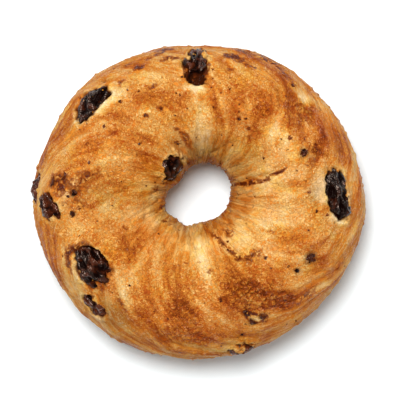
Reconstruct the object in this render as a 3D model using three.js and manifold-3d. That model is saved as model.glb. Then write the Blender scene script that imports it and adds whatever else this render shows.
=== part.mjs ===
// A cinnamon and raisin bagel at life size, lying on its flat underside.
//
// Millimetres, +Z up. The origin is at the height of what the bagel lies on, under the middle of
// its outline. The bagel is one ring of dough. Nine raisins are set into pockets in its crust, and
// raisin crumbs are baked onto it. The ring is uneven, as a hand-shaped ring of dough is: its outer
// edge and its hole are two outlines of their own, and the hole lies a little off the middle.
//
// A place on the crust is given by two angles. The turn goes round the ring from +X towards +Y.
// The slope goes round the ring's section: 0 at the outer edge, 90 on the crest, 180 in the hole,
// and -90 under the ring.

import * as THREE from 'three';
import { mergeVertices } from 'three/addons/utils/BufferGeometryUtils.js';
import Module from 'manifold-3d';

const wasm = await Module();
wasm.setup();

// The outlines of the ring from above, as radii every 22.5 degrees of turn
const EDGE_RADII = [
  52.5, 51.3, 50.5, 50.4, 49.7, 50.3, 51.9, 51.2,
  52.5, 51.4, 50.5, 50.0, 49.6, 49.5, 50.1, 51.2,
];
const HOLE_RADII = [
  9.7, 10.4, 11.1, 10.9, 9.8, 8.9, 7.7, 8.2,
  10.5, 11.5, 10.7, 10.3, 8.5, 8.5, 9.1, 9.5,
];
const HOLE_MIDDLE_X = 0.2;
const HOLE_MIDDLE_Y = 2.2;

// The section of the ring. A share runs from the edge of the hole at 0 to the outer edge at 1.
const HEIGHT = 35.6;
const WIDEST_HEIGHT = 16;
const CREST_SHARE = 0.52;
const FOOT_SHARE_AT_HOLE = 0.2;
const FOOT_SHARE_AT_EDGE = 0.71;
const FOOT_HALF_ANGLE = 0.2;
const SECTION_DEPTH = 41;

// The mesh of the ring, with shorter steps over the top than underneath
const RING_STEPS = 104;
const SECTION_STEPS = 34;
const TOP_CROWDING = 0.45;

// The unevenness of the crust is a sum of long waves: which way each runs, its length and how high it rises
const CRUST_WAVES = [
  { run: [0.9, 0.3, 0.4], length: 34, rise: 0.45 },
  { run: [-0.4, 0.9, 0.3], length: 27, rise: 0.4 },
  { run: [0.6, -0.7, 0.5], length: 19, rise: 0.3 },
  { run: [0.2, 0.8, -0.6], length: 14, rise: 0.22 },
  { run: [-0.8, -0.3, 0.6], length: 11, rise: 0.18 },
];

// The crust is quiet where the ring meets what it lies on, and uneven from a height up. The sides, which hold
// the two outlines, have only this share of the unevenness.
const QUIET_BELOW = 1.5;
const UNEVEN_ABOVE = 9;
const SIDE_UNEVENNESS = 0.25;

// The pleats where the dough was drawn together towards the hole, seen from above
const PLEATS = [
  { from: [9.5, 5.4], to: [20.5, 7.2], width: 1.5, depth: 1.0 },
  { from: [20.5, 7.2], to: [26.5, 10.3], width: 1.4, depth: 0.5 },
  { from: [3.0, -8.6], to: [12.4, -18.0], width: 1.6, depth: 0.8 },
  { from: [0.2, -7.4], to: [1.4, -27.5], width: 2.6, depth: 0.7 },
  { from: [0.0, 12.6], to: [0.6, 27.0], width: 1.5, depth: 0.7 },
  { from: [4.0, 12.4], to: [7.6, 24.5], width: 1.7, depth: 0.6 },
  { from: [-3.4, 12.0], to: [-7.0, 24.0], width: 1.6, depth: 0.7 },
  { from: [-10.2, 3.6], to: [-19.0, 7.8], width: 1.8, depth: 0.7 },
  { from: [-9.4, -2.4], to: [-17.0, -6.4], width: 1.8, depth: 0.5 },
];

// The raisins: where each lies, how its length swings from the run of the ring, its size, how far its middle
// is sunk under the crust, how far it bends, and the number of folds round it
const RAISINS = [
  {
    name: 'raisin_right', turn: 2.7, slope: 54, swing: 7, sunk: 1.6,
    size: [17.5, 8.4, 6.2], bend: -0.9, folds: 5,
  },
  {
    name: 'raisin_upper_left', turn: 138.3, slope: 45, swing: 3, sunk: 1.6,
    size: [14.0, 8.2, 5.8], bend: 0.5, folds: 4,
  },
  {
    name: 'raisin_top', turn: 91.5, slope: 43, swing: 86, sunk: 1.9,
    size: [11.5, 9.0, 6.4], bend: 0.3, folds: 5,
  },
  {
    name: 'raisin_hole', turn: 132.7, slope: 143, swing: 48, sunk: 1.4,
    size: [11.5, 8.4, 5.8], bend: 0.4, folds: 4,
  },
  {
    name: 'raisin_lower_left', turn: 212.9, slope: 67, swing: -6, sunk: 2.0,
    size: [15.6, 10.4, 7.0], bend: 0.6, folds: 6,
  },
  {
    name: 'raisin_lower_left_small', turn: 224.8, slope: 38, swing: 9, sunk: 1.3,
    size: [9.0, 6.8, 4.8], bend: 0.2, folds: 4,
  },
  {
    name: 'raisin_left_edge', turn: 175.5, slope: 15, swing: -14, sunk: 1.2,
    size: [8.2, 6.4, 4.8], bend: 0.2, folds: 4,
  },
  {
    name: 'raisin_left', turn: 182.4, slope: 43, swing: 24, sunk: 1.3,
    size: [11.0, 6.8, 4.8], bend: 0.4, folds: 4,
  },
  {
    name: 'raisin_bottom_rim', turn: 286.2, slope: 20, swing: 5, sunk: 1.4,
    size: [9.4, 6.6, 4.8], bend: 0.2, folds: 4,
  },
];
const RAISIN_DETAIL = 3;
const FOLD_DEPTH = 0.2;
const FOLD_WANDER = 1.5;
const LUMP_DEPTH = 0.07;
const POCKET_GAP = 0.42;

// The round hollow beside the top raisin, out of which that raisin has shrunk
const HOLLOW = { turn: 92.0, slope: 64, size: [6.0, 6.2, 5.6], sunk: 0.9 };

// The raisin crumbs baked onto the crust: turn, slope, length, width
const CRUMBS = [
  [22.8, 76.5, 4.2, 2.4],
  [332.5, 66.4, 3.9, 3.1],
  [292.7, 64.3, 2.4, 1.8],
  [298.4, 54.0, 2.6, 2.0],
  [293.8, 53.0, 3.0, 1.8],
  [176.8, 70.5, 2.2, 1.9],
  [186.4, 68.1, 1.9, 1.6],
  [172.8, 48.9, 2.6, 1.7],
  [170.2, 59.0, 2.2, 1.6],
  [324.1, 69.7, 1.6, 1.4],
];
const CRUMB_THICKNESS = 1.5;

const DOUGH_FINISH = new THREE.MeshStandardMaterial({ color: 0xcf8f48, roughness: 0.5, metalness: 0 });
const RAISIN_FINISH = new THREE.MeshStandardMaterial({ color: 0x23110d, roughness: 0.35, metalness: 0 });

const QUARTER_TURN = Math.PI / 2;
const TINY_ANGLE = 0.002;

function radians(degrees) {
  return THREE.MathUtils.degToRad(degrees);
}

// A radius of an outline at any turn, from a smooth curve through its evenly spaced radii
function radiusAt(radii, turn) {
  const count = radii.length;
  const step = THREE.MathUtils.euclideanModulo(turn / (2 * Math.PI), 1) * count;
  const before = Math.floor(step);
  const part = step - before;
  const [a, b, c, d] = [-1, 0, 1, 2].map((offset) => radii[(before + offset + count) % count]);
  const straight = (c - a) * part;
  const curved = (2 * a - 5 * b + 4 * c - d) * part ** 2;
  const turning = (3 * b - 3 * c + d - a) * part ** 3;
  return b + (straight + curved + turning) / 2;
}

// The plain section at a slope: its share of the ring's depth, its height, and the way that it faces
function sectionAt(slope) {
  const lean = Math.cos(slope);
  const rise = Math.sin(slope);
  if (rise >= 0) {
    const halfDepth = lean > 0 ? 1 - CREST_SHARE : CREST_SHARE;
    const dome = HEIGHT - WIDEST_HEIGHT;
    const facing = new THREE.Vector2(lean / (halfDepth * SECTION_DEPTH), rise / dome).normalize();
    return { share: CREST_SHARE + halfDepth * lean, height: WIDEST_HEIGHT + dome * rise, facing };
  }
  const fromBottom = slope + QUARTER_TURN;
  const side = lean > 0 ? FOOT_SHARE_AT_EDGE : FOOT_SHARE_AT_HOLE;
  if (Math.abs(fromBottom) <= FOOT_HALF_ANGLE) {
    const across = (fromBottom / FOOT_HALF_ANGLE + 1) / 2;
    const share = THREE.MathUtils.lerp(FOOT_SHARE_AT_HOLE, FOOT_SHARE_AT_EDGE, across);
    return { share, height: 0, facing: new THREE.Vector2(0, -1) };
  }
  const climb = (Math.abs(fromBottom) - FOOT_HALF_ANGLE) / (QUARTER_TURN - FOOT_HALF_ANGLE) * QUARTER_TURN;
  const flank = lean > 0 ? 1 - side : -side;
  const facing = new THREE.Vector2(Math.sign(flank) * Math.sin(climb), -Math.cos(climb));
  return { share: side + flank * Math.sin(climb), height: WIDEST_HEIGHT * (1 - Math.cos(climb)), facing };
}

// A point of the ring from its turn, its share of the ring's depth and its height
function onRing(turn, share, height) {
  const holeRadius = radiusAt(HOLE_RADII, turn);
  const reach = THREE.MathUtils.lerp(holeRadius, radiusAt(EDGE_RADII, turn), share);
  const x = (1 - share) * HOLE_MIDDLE_X + reach * Math.cos(turn);
  const y = (1 - share) * HOLE_MIDDLE_Y + reach * Math.sin(turn);
  return new THREE.Vector3(x, y, height);
}

// How far the crust stands out at a point that faces a given way, from the long waves and the pleats
function reliefAt(point, facing) {
  let relief = 0;
  for (const wave of CRUST_WAVES) {
    const along = wave.run[0] * point.x + wave.run[1] * point.y + wave.run[2] * point.z;
    relief += wave.rise * Math.sin(2 * Math.PI * along / wave.length);
  }
  const place = new THREE.Vector3(point.x, point.y, 0);
  const nearest = new THREE.Vector3();
  for (const pleat of PLEATS) {
    const line = new THREE.Line3(new THREE.Vector3(...pleat.from), new THREE.Vector3(...pleat.to));
    line.closestPointToPoint(place, true, nearest);
    relief -= pleat.depth * Math.exp(-((nearest.distanceTo(place) / pleat.width) ** 2));
  }
  const upward = THREE.MathUtils.lerp(SIDE_UNEVENNESS, 1, Math.max(facing.y, 0));
  return relief * upward * THREE.MathUtils.smoothstep(point.z, QUIET_BELOW, UNEVEN_ABOVE);
}

// A point of the finished crust
function crustAt(turn, slope) {
  const { share, height, facing } = sectionAt(slope);
  const relief = reliefAt(onRing(turn, share, height), facing);
  const point = onRing(turn, share + relief * facing.x / SECTION_DEPTH, height + relief * facing.y);
  point.z = Math.max(point.z, 0);
  return point;
}

// The frame of a thing that lies on the crust: its length, its width and its way out of the dough
function lieOnCrust(turn, slope, swing, sunk) {
  const middle = crustAt(turn, slope);
  const along = crustAt(turn + TINY_ANGLE, slope).sub(crustAt(turn - TINY_ANGLE, slope)).normalize();
  const down = crustAt(turn, slope - TINY_ANGLE).sub(crustAt(turn, slope + TINY_ANGLE)).normalize();
  const out = down.clone().cross(along).normalize();
  along.applyAxisAngle(out, swing);
  const across = out.clone().cross(along);
  const frame = new THREE.Matrix4().makeBasis(along, across, out);
  return frame.setPosition(middle.addScaledVector(out, -sunk));
}

// A geometry with its shared corners merged, so that only the places of its corners are left
function merged(geometry) {
  geometry.deleteAttribute('normal');
  geometry.deleteAttribute('uv');
  return mergeVertices(geometry, 1e-4);
}

function toSolid(geometry) {
  const mesh = merged(geometry);
  const vertProperties = new Float32Array(mesh.attributes.position.array);
  const triVerts = new Uint32Array(mesh.index.array);
  return new wasm.Manifold(new wasm.Mesh({ numProp: 3, vertProperties, triVerts }));
}

function toGeometry(solid) {
  const mesh = solid.getMesh();
  const geometry = new THREE.BufferGeometry();
  geometry.setAttribute('position', new THREE.BufferAttribute(mesh.vertProperties, 3));
  return geometry.setIndex(new THREE.BufferAttribute(mesh.triVerts, 1));
}

// A geometry with each corner moved to the place that a function gives it
function reshape(geometry, moved) {
  const position = geometry.attributes.position;
  const point = new THREE.Vector3();
  for (let i = 0; i < position.count; i += 1) {
    point.fromBufferAttribute(position, i);
    position.setXYZ(i, ...moved(point).toArray());
  }
  return geometry;
}

// The ring before anything is set into it: a torus, whose two angles become a turn and a slope
function ringOfDough() {
  const torusRadius = 3;
  const torus = new THREE.TorusGeometry(torusRadius, 1, SECTION_STEPS, RING_STEPS);
  return reshape(torus, (corner) => {
    const plain = Math.atan2(corner.z, Math.hypot(corner.x, corner.y) - torusRadius);
    const slope = plain + TOP_CROWDING * Math.cos(plain);
    const wrapped = slope < -Math.PI ? slope + 2 * Math.PI : slope;
    return crustAt(Math.atan2(corner.y, corner.x), wrapped);
  });
}

// A raisin's outer form round its own middle, a bent and lumpy egg of the raisin's size
function raisinForm(raisin, direction) {
  const [length, width, thickness] = raisin.size;
  const lump = Math.sin(3 * direction.x + raisin.turn) + Math.sin(4 * direction.y + raisin.slope);
  const form = direction.clone().multiply(new THREE.Vector3(length / 2, width / 2, thickness / 2));
  form.multiplyScalar(1 - LUMP_DEPTH + LUMP_DEPTH * lump / 2);
  form.y += raisin.bend * (direction.x ** 2 - 0.5);
  return form;
}

// The raisin itself, whose skin has dried into folds that run along it
function raisinGeometry(raisin) {
  return reshape(new THREE.IcosahedronGeometry(1, RAISIN_DETAIL), (direction) => {
    const aroundLength = Math.atan2(direction.z, direction.y) + FOLD_WANDER * Math.sin(2 * direction.x) / 2;
    const fold = (1 + Math.sin(raisin.folds * aroundLength + raisin.turn)) / 2;
    const form = raisinForm(raisin, direction);
    const girth = 1 - FOLD_DEPTH * fold * (1 - direction.x ** 2);
    return new THREE.Vector3(form.x, form.y * girth, form.z * girth);
  });
}

// The pocket in the dough, the raisin's outer form with a little air round it
function pocketGeometry(raisin) {
  return reshape(new THREE.IcosahedronGeometry(1, RAISIN_DETAIL - 1), (direction) => {
    return raisinForm(raisin, direction).addScaledVector(direction, POCKET_GAP);
  });
}

function raisinFrame(raisin) {
  return lieOnCrust(radians(raisin.turn), radians(raisin.slope), radians(raisin.swing), raisin.sunk);
}

function hollowGeometry() {
  const hollow = new THREE.IcosahedronGeometry(0.5, 2).scale(...HOLLOW.size);
  return hollow.applyMatrix4(lieOnCrust(radians(HOLLOW.turn), radians(HOLLOW.slope), 0, HOLLOW.sunk));
}

function crumbGeometry([turn, slope, length, width]) {
  const crumb = new THREE.DodecahedronGeometry(0.5).scale(length, width, CRUMB_THICKNESS);
  return crumb.applyMatrix4(lieOnCrust(radians(turn), radians(slope), radians(turn), 0));
}

// The ring of dough with its crumbs joined on and its pockets cut
function doughGeometry() {
  let dough = toSolid(ringOfDough());
  for (const crumb of CRUMBS) {
    dough = dough.add(toSolid(crumbGeometry(crumb)));
  }
  for (const raisin of RAISINS) {
    dough = dough.subtract(toSolid(pocketGeometry(raisin).applyMatrix4(raisinFrame(raisin))));
  }
  return toGeometry(dough.subtract(toSolid(hollowGeometry())));
}

function namedMesh(name, geometry, finish) {
  geometry.computeVertexNormals();
  const mesh = new THREE.Mesh(geometry, finish);
  mesh.name = name;
  return mesh;
}

const bagel = new THREE.Group();
bagel.add(namedMesh('dough', doughGeometry(), DOUGH_FINISH));
for (const raisin of RAISINS) {
  const mesh = namedMesh(raisin.name, merged(raisinGeometry(raisin)), RAISIN_FINISH);
  mesh.applyMatrix4(raisinFrame(raisin));
  bagel.add(mesh);
}

// The origin goes under the middle of the whole outline
const outline = new THREE.Box3().setFromObject(bagel, true);
const middle = outline.getCenter(new THREE.Vector3());
bagel.position.set(-middle.x, -middle.y, 0);

export default bagel;
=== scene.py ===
"""A cinnamon and raisin bagel, dressed round its solids.

Metres, +Z up, with the origin under the middle of the bagel. The dough is one baked ring whose form
repeats the ring of the solids from the same named sizes in millimetres, and whose crust, wrinkles and
pockets are added to it. Every raisin grows out of its own solid, so it lies where that solid lies.

A place on the crust has a turn, which goes round the ring from +X towards +Y, and a slope, which goes
round the ring's section: 0 at the outer edge, 90 on the crest, 180 in the hole and -90 underneath.
"""

import itertools
import math
from functools import partial

import bmesh
import bpy
import numpy as np
from mathutils import Matrix, Vector
from mathutils.bvhtree import BVHTree


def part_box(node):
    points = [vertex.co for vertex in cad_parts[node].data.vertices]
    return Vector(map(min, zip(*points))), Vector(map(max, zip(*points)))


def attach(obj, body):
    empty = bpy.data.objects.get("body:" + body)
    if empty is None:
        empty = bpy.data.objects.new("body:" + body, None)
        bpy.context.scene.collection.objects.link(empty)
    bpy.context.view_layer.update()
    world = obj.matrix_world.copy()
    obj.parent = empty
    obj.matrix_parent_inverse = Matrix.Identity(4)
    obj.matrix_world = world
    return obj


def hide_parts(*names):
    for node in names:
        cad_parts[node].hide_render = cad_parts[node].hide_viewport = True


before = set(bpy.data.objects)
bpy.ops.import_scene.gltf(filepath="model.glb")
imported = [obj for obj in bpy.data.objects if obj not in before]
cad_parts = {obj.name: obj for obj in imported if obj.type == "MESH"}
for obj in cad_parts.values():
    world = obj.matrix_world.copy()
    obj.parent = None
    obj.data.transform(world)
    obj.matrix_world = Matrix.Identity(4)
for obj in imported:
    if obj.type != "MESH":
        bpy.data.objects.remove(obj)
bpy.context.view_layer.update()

bl_info = {
    "name": "Cinnamon and Raisin Bagel",
    "version": (1, 0, 0),
    "blender": (4, 5, 0),
    "location": "3D View > Sidebar > Bagel",
    "description": "Dresses a baked ring of dough, its raisins and the table that it lies on",
    "category": "Object",
}

MM = 0.001
DOUGH_LOW, DOUGH_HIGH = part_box("dough")
RAISIN_NODES = sorted(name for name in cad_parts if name.startswith("raisin_"))

# The ring's outlines from above, as radii in millimetres every 22.5 degrees of turn
EDGE_RADII = [
    52.5, 51.3, 50.5, 50.4, 49.7, 50.3, 51.9, 51.2,
    52.5, 51.4, 50.5, 50.0, 49.6, 49.5, 50.1, 51.2,
]
HOLE_RADII = [
    9.7, 10.4, 11.1, 10.9, 9.8, 8.9, 7.7, 8.2,
    10.5, 11.5, 10.7, 10.3, 8.5, 8.5, 9.1, 9.5,
]
HOLE_MIDDLE = (0.2, 2.2)

# The ring's section. A share runs from the edge of the hole at 0 to the outer edge at 1, and the angle is
# in radians.
HEIGHT = 35.6
WIDEST_HEIGHT = 16
CREST_SHARE = 0.52
FOOT_SHARE_AT_HOLE = 0.2
FOOT_SHARE_AT_EDGE = 0.71
FOOT_HALF_ANGLE = 0.2
SECTION_DEPTH = 41

# The long waves of the crust: which way each runs, its length and how high it rises
CRUST_WAVES = [
    ((0.9, 0.3, 0.4), 34, 0.45),
    ((-0.4, 0.9, 0.3), 27, 0.4),
    ((0.6, -0.7, 0.5), 19, 0.3),
    ((0.2, 0.8, -0.6), 14, 0.22),
    ((-0.8, -0.3, 0.6), 11, 0.18),
]

# The heights between which the waves and pleats set in, and the share of them that a steep side has
QUIET_BELOW = 1.5
UNEVEN_ABOVE = 9
SIDE_UNEVENNESS = 0.25

# The pleats where the dough was drawn together towards the hole: two ends from above, width and depth
PLEATS = [
    ((9.5, 5.4), (20.5, 7.2), 1.5, 1.0),
    ((20.5, 7.2), (26.5, 10.3), 1.4, 0.5),
    ((3.0, -8.6), (12.4, -18.0), 1.6, 0.8),
    ((0.2, -7.4), (1.4, -27.5), 2.6, 0.7),
    ((0.0, 12.6), (0.6, 27.0), 1.5, 0.7),
    ((4.0, 12.4), (7.6, 24.5), 1.7, 0.6),
    ((-3.4, 12.0), (-7.0, 24.0), 1.6, 0.7),
    ((-10.2, 3.6), (-19.0, 7.8), 1.8, 0.7),
    ((-9.4, -2.4), (-17.0, -6.4), 1.8, 0.5),
]

# The mesh of the ring: its steps round the ring and round the section, how often each is divided, how far
# its corners crowd towards the top, and the radius of the plain ring round a section of radius 1
RING_STEPS = 86
SECTION_STEPS = 34
RING_CUTS = 4
TOP_CROWDING = 0.42
PLAIN_RADIUS = 3

# The skin is mapped on a ring of this radius, with this much skin round its section, in millimetres
SKIN_RADIUS = 26
SKIN_TUBE = 19.5

# The dough was twisted before it was joined, so its skin flows radially out of the hole, swirls over the
# crest and runs along the ring at the rim. The swirl is the turn that a line of flow makes between the
# hole and the outer edge, which lie this far over the skin, and the grain is drawn out along it.
SWIRL = 1.3
HOLE_OVER = 92
EDGE_OVER = 31
FLOW_STRETCH = 0.36
FLOW_WANDER = 0.16

# The relief of the skin in millimetres: its lumps, the bands and creases along its flow, the crags of its
# rim, and the spacing of its blisters and pores with the share of places that have one
LUMP_HEIGHT = 0.28
SMALL_LUMP_HEIGHT = 0.12
BAND_HEIGHT = 0.45
SMALL_BAND_HEIGHT = 0.2
CREASE_DEPTH = 0.55
CRAG_HEIGHT = 1.1
BLISTER_SPACING = 2.0
BLISTER_SHARE = 0.8
PORE_SPACING = 3.4
PORE_SHARE = 0.4

# The crust round a raisin, in millimetres: how far out its lip stands, how far out its skin is palest, how
# wide and how pale that is, how far the edge wanders and how thick the skin over a raisin is at least
LIP_OUT = 1.4
PALE_OUT = 1.1
LIP_WIDTH = 0.6
LIP_PALENESS = 0.45
EDGE_WANDER = 0.5
DRAWN_SKIN = 0.25

# The hollows that raisins have shrunk out of: turn, slope, swing, half sizes, how far each is sunk and the
# raisin that it dents
HOLLOWS = [
    (91.5, 65.5, 0, (3.0, 2.6, 3.4), 0.6, "raisin_top"),
    (209.5, 72, 20, (5.6, 3.6, 2.2), 0.5, None),
]

# The amber flesh in the hollow of the top raisin: how far along Y it lies from the hollow's middle, its
# size, how brown the hollow is and how much browner the flesh makes it
AMBER_BELOW = -0.7
AMBER_SIZE = 1.5
HOLLOW_BROWN = 0.7
AMBER_BROWN = 1.6

# Raisin crumbs baked onto the crust: turn, slope, length, width, how far each curls and how brown it is
CRUMBS = [
    (24.0, 78.6, 2.0, 2.5, 0.2, 1.0),
    (332.5, 66.4, 3.6, 2.8, 0.5, 0.7),
    (292.7, 64.3, 2.2, 1.3, 0.6, 0.9),
    (298.4, 54.0, 2.6, 1.2, 1.0, 0.9),
    (293.8, 53.0, 2.8, 1.2, 1.1, 0.9),
    (176.8, 70.5, 2.0, 1.4, 0.6, 0.6),
    (186.4, 68.1, 1.8, 1.3, 0.5, 0.9),
    (172.8, 48.9, 3.2, 1.0, 1.1, 1.1),
    (170.2, 59.0, 2.8, 1.0, 1.2, 1.2),
    (324.1, 69.7, 1.5, 1.1, 0.3, 0.5),
]

# Specks of raisin and cinnamon that lie on the skin, seen from above: place and size
SPECKS = [
    ((-25.0, 31.2), 1.0), ((-29.7, 23.7), 0.9), ((-18.7, 18.3), 0.8), ((-16.8, 27.2), 0.9),
    ((-12.0, 29.1), 0.8), ((-22.1, 34.8), 0.6), ((-18.5, 34.6), 0.7), ((-7.0, 33.8), 0.6),
    ((-6.8, 18.3), 0.7), ((-7.3, 26.9), 0.6), ((-34.2, 12.3), 0.8), ((29.1, 36.5), 1.1),
    ((4.1, 35.7), 0.6), ((4.4, 29.4), 0.6), ((12.5, 30.4), 0.6), ((12.3, 28.0), 0.7),
    ((12.5, 25.9), 0.8), ((14.6, 25.9), 0.6), ((15.3, 22.8), 0.8), ((27.4, 32.9), 0.7),
    ((28.2, 19.9), 0.9), ((25.6, 19.6), 0.6), ((10.4, 17.7), 0.6), ((20.7, -17.5), 0.9),
    ((7.0, -30.6), 1.0), ((8.9, -12.2), 0.8), ((9.0, -15.2), 0.9), ((40.0, -3.8), 1.0),
    ((36.8, -2.7), 0.8), ((-12.5, -9.8), 0.7), ((9.4, 35.1), 0.6), ((-9.8, -36.5), 0.6),
    ((-21.6, -25.9), 0.7), ((13.5, -41.3), 0.8), ((-41.0, 1.8), 0.9), ((-35.2, 6.4), 0.7),
    ((-31.6, -6.2), 0.6), ((-5.2, 39.0), 0.6), ((20.2, 13.4), 0.7), ((34.2, -8.6), 0.6),
]

# Where the crust has toasted, as oval spots seen from above. Each spot here and in the next lists has the
# x and y of its middle, its half length, its half width, its angle in degrees and its strength.
TOASTED = [
    (16.6, -27.2, 13.0, 5.8, -22, 0.86), (11.5, -31.5, 5.0, 3.0, -20, 0.3),
    (37.0, -20.0, 6.0, 3.0, 60, 0.35), (27.0, -30.5, 7.0, 3.4, 10, 0.35),
    (31.8, 26.8, 10.5, 4.8, 112, 0.5), (33.6, 29.4, 4.2, 2.4, -58, 0.5),
    (16.1, 37.0, 10.0, 7.0, -20, 0.36), (19.5, 27.5, 6.0, 2.4, 76, 0.5),
    (-19.6, -12.7, 7.0, 3.2, 80, 0.55), (-4.2, -32.8, 9.0, 6.5, 0, 0.62),
    (-7.0, -42.0, 13.0, 4.0, 0, 0.5), (-10.5, -25.0, 7.0, 3.5, 75, 0.15),
    (-17.4, -32.0, 7.5, 4.5, 60, 0.35), (-29.0, 20.8, 10.0, 5.0, 38, 0.5),
    (-44.9, -22.1, 8.0, 4.0, 115, 0.5), (44.6, 18.7, 7.0, 4.0, 110, 0.35),
    (28.8, -10.8, 9.0, 3.0, -14, 0.35), (36.0, 15.2, 5.0, 1.8, 80, 0.85),
    (-12.0, 36.0, 9.0, 5.0, 10, 0.2), (6.5, -43.0, 12.0, 3.0, 8, 0.35), (-4.0, 25.5, 5.0, 3.0, 0, 0.3),
    (-42.0, 24.0, 8.0, 3.0, 60, 0.3), (-22.0, 43.5, 9.0, 2.5, 25, 0.35),
]

# Where the skin was stretched and stayed pale
PALE = [
    (1.3, 22.8, 11.0, 3.4, 88, 0.4), (0.3, -16.5, 10.0, 2.4, 98, 0.6), (4.5, -25.5, 6.0, 1.4, 118, 0.5),
    (23.5, 0.5, 12.0, 7.0, 60, 0.45), (37.8, 4.2, 6.0, 2.5, 92, 1.1), (43.0, -4.6, 2.4, 1.6, 120, 0.7),
    (-1.3, 35.4, 3.6, 1.2, 0, 1.2), (-32.0, 28.6, 8.0, 1.3, 35, 1.0), (27.0, 19.5, 8.0, 3.0, 110, 0.4),
    (-40.7, -24.5, 9.0, 2.0, 105, 0.5), (-23.0, -29.0, 7.0, 1.8, 112, 0.5),
    (-31.0, -38.5, 8.0, 3.0, 140, 0.3), (14.0, -12.0, 8.0, 2.0, -38, 0.3),
    (-28.0, 2.5, 15.0, 5.0, -12, 0.1), (19.5, 18.5, 6.0, 3.0, 60, 0.3), (17.4, -35.9, 1.9, 1.0, 0, 0.6),
    (-13.5, -4.0, 5.0, 6.0, 40, 0.45), (32.3, 33.5, 5.0, 1.2, -38, 0.8),
]

# Where cinnamon shows through
CINNAMON = [
    (15.5, 6.0, 6.5, 0.6, 8, 1.15), (24.0, 9.0, 3.4, 0.6, 28, 1.05), (7.6, -13.5, 6.5, 0.7, -43, 0.8),
    (-22.8, 42.7, 1.4, 0.8, 20, 0.7), (-19.0, 42.0, 1.2, 0.7, 30, 0.7), (-16.1, 45.2, 1.4, 0.7, 25, 0.7),
    (-24.4, 37.3, 1.6, 0.9, 60, 0.6), (-12.3, 46.5, 2.4, 0.6, 15, 0.7), (10.1, 41.4, 1.6, 0.8, -20, 0.6),
    (12.4, 45.0, 2.6, 0.7, -15, 0.7), (15.5, 42.7, 2.0, 0.8, -25, 0.6), (-5.0, 20.5, 4.5, 1.3, -52, 0.7),
    (9.0, -9.6, 2.2, 1.5, 0, 0.6), (16.2, -17.0, 3.6, 2.0, 20, 0.6), (22.0, -9.0, 2.4, 1.0, 0, 0.4),
    (10.0, 45.2, 4.0, 1.0, -12, 0.6), (20.8, 45.3, 5.5, 1.3, -24, 0.7), (-19.0, 41.9, 1.6, 0.9, 30, 0.8),
    (-15.2, 35.9, 2.4, 1.2, 10, 0.6), (-12.0, 29.1, 1.2, 0.9, 0, 0.7), (-16.6, 26.9, 1.0, 0.8, 0, 0.7),
    (-39.0, 5.0, 5.5, 4.2, 20, 0.6), (-44.3, 6.2, 1.8, 3.4, 10, 0.9), (-34.0, 8.4, 3.8, 1.6, 20, 0.6),
    (-38.2, -0.8, 3.0, 1.6, 0, 0.5), (-38.2, -14.4, 3.6, 1.3, 25, 1.0), (-40.6, -18.2, 3.8, 0.8, 95, 1.0),
    (-24.0, -31.5, 4.0, 0.9, -63, 0.6), (-30.5, -25.8, 1.6, 2.6, 30, 0.6),
    (-7.2, -20.7, 1.4, 1.8, 90, 0.42), (-4.2, -19.0, 1.3, 1.1, 0, 0.45), (0.2, -18.6, 1.2, 0.9, 0, 0.45),
    (3.4, -21.4, 1.2, 1.0, 0, 0.5), (6.8, -30.2, 1.2, 0.8, 20, 0.8), (-11.8, -43.0, 2.0, 1.0, 10, 0.7),
    (13.8, -41.2, 1.1, 0.7, 0, 0.8), (31.9, -30.2, 6.6, 1.6, 41, 0.5), (26.6, 40.4, 5.0, 0.6, -45, 0.8),
    (-22.6, -14.4, 2.2, 1.8, 20, 0.4), (-23.0, -8.0, 1.4, 1.0, 0, 0.5), (-24.3, 31.1, 0.6, 0.6, 0, 1.0),
    (-17.9, 18.6, 0.6, 0.6, 0, 0.9), (-6.8, 18.4, 0.7, 0.6, 0, 0.9), (4.4, 29.4, 0.5, 0.5, 0, 0.9),
    (12.4, 26.0, 0.6, 0.8, 0, 0.9), (14.6, 26.0, 0.6, 0.5, 0, 0.9), (15.3, 22.8, 0.8, 0.6, 0, 0.9),
    (29.1, 36.5, 0.6, 0.6, 0, 1.1), (28.2, 19.9, 0.8, 0.6, 30, 0.9), (40.0, -3.8, 0.5, 0.5, 0, 1.1),
    (20.7, -17.5, 0.6, 0.5, 0, 0.9), (12.0, -17.7, 0.8, 0.5, 20, 0.9), (34.6, 12.6, 3.0, 1.8, 75, 0.42),
    (-10.6, 47.6, 3.0, 0.5, 12, 1.0), (-8.6, 44.8, 3.4, 0.6, 5, 1.0), (9.8, 45.3, 1.3, 0.8, -20, 1.2),
    (13.6, 47.4, 3.2, 0.9, -22, 0.9), (-3.9, 41.2, 2.2, 1.0, 95, 1.6), (2.4, 41.6, 2.4, 0.8, 80, 1.2),
    (16.6, -34.7, 3.4, 0.5, -8, 1.5), (20.8, -35.8, 1.6, 0.5, 95, 1.5), (18.6, -37.4, 2.2, 0.5, 10, 1.4),
    (14.8, -35.9, 1.5, 0.5, 115, 1.3), (34.2, 3.4, 1.0, 0.7, 20, 1.1), (-13.3, 4.4, 1.2, 0.9, -50, 0.8),
    (-11.7, -1.3, 0.9, 0.7, 0, 0.8), (-10.8, -5.7, 1.0, 0.7, 0, 0.7), (-9.3, -7.0, 0.8, 0.5, 0, 0.7),
]

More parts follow.
